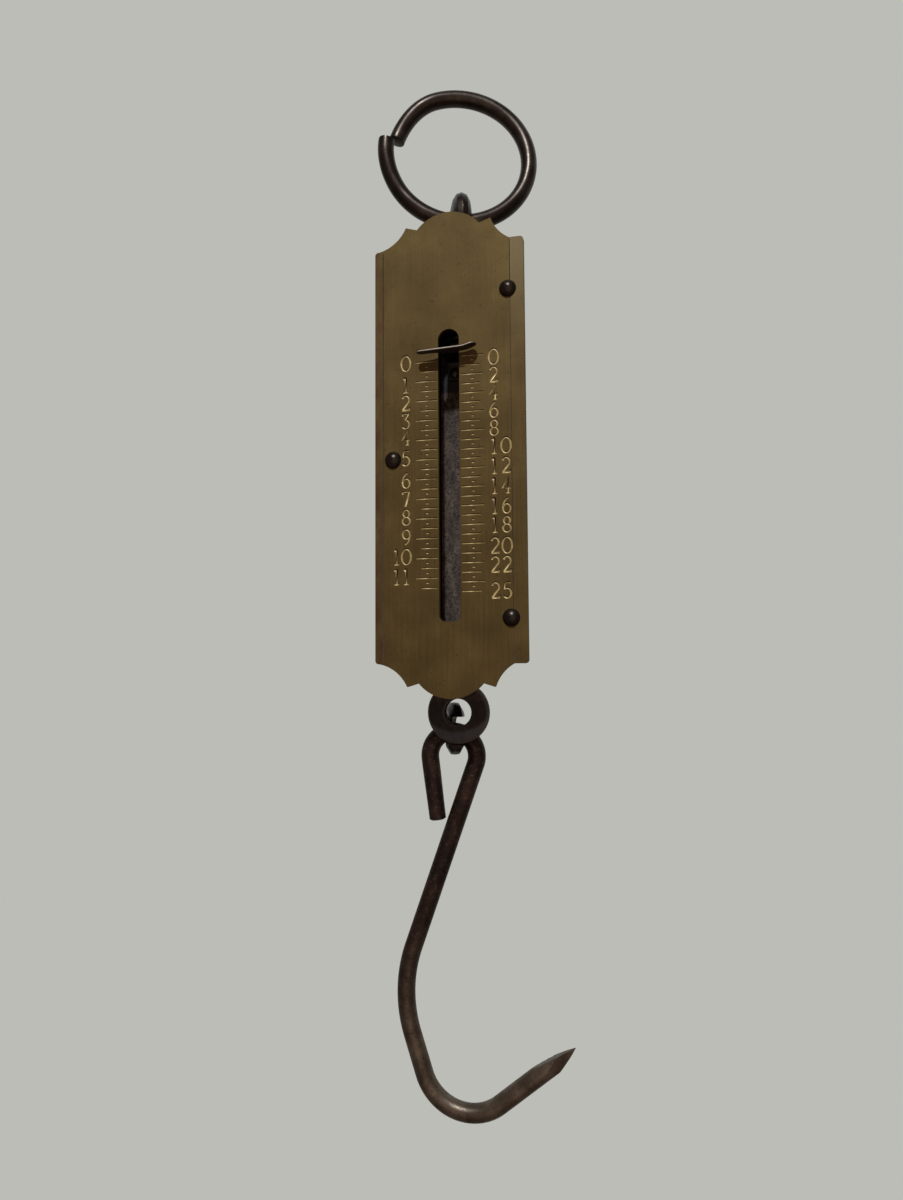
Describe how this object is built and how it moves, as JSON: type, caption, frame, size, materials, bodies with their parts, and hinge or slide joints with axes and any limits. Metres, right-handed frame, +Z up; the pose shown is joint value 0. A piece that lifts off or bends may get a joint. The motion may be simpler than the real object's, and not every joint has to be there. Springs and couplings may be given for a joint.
{
  "type": "hanging spring balance",
  "caption": "Antique pocket scale: a slotted brass face on an iron trough, a coil spring with a draw bar and pointer inside, a ring above and a bent iron hook below.",
  "frame": {"origin": "where the ring hangs on its peg, at the inner top of the ring", "axes": "+Z up along the hanging scale, the brass face towards -Y, +X to the right of someone who reads the face"},
  "size_m": [0.0434, 0.0261, 0.2427],
  "materials": {
    "brass": "aged, matt",
    "iron": "forged, dark",
    "rusty_iron": "forged, lightly rusted",
    "sheet_iron": "rolled sheet, tarnished",
    "steel": "drawn wire, dull"
  },
  "bodies": {
    "ring": {"hanging_ring": "iron"},
    "eye": {"top_eye": "iron", "swivel_washer": "steel"},
    "case": {"face_plate": "brass", "face_rivet_upper": "iron", "face_rivet_left": "iron", "face_rivet_lower": "iron", "rear_case": "sheet_iron", "top_block": "iron", "block_rivet_left": "iron", "block_rivet_right": "iron", "bottom_guide": "iron", "guide_rivet_left": "iron", "guide_rivet_right": "iron", "spring_top_pin": "steel", "main_spring": "steel"},
    "draw": {"draw_bar": "rusty_iron", "spring_low_pin": "steel", "pointer": "iron", "pointer_rivet": "iron"},
    "link": {"hook_link": "iron"},
    "hook": {"hook": "rusty_iron"}
  },
  "joints": [
    {"name": "ring_tilt", "type": "hinge", "parent": "ring", "child": "eye", "pos_m": [0.00128, -0.00395, -0.03198], "axis": [0.9511, 0.309, 0], "range_deg": [-60, 60]},
    {"name": "eye_swivel", "type": "hinge", "parent": "eye", "child": "case", "pos_m": [0.00128, -0.00395, -0.0475], "axis": [0, 0, 1], "continuous": true},
    {"name": "draw_slide", "type": "slide", "parent": "case", "child": "draw", "axis": [0, 0, -1], "range_m": [0, 0.0527], "stiffness_N_per_m": 2180, "deforming": ["main_spring"]},
    {"name": "link_swing", "type": "hinge", "parent": "draw", "child": "link", "pos_m": [0.00118, -0.00935, -0.14925], "axis": [0.9063, 0.4226, 0], "range_deg": [-4, 22]},
    {"name": "hook_sway", "type": "hinge", "parent": "link", "child": "hook", "pos_m": [-0.00133, -0.00395, -0.15837], "axis": [0, 1, 0], "range_deg": [-30, 30]}
  ]
}
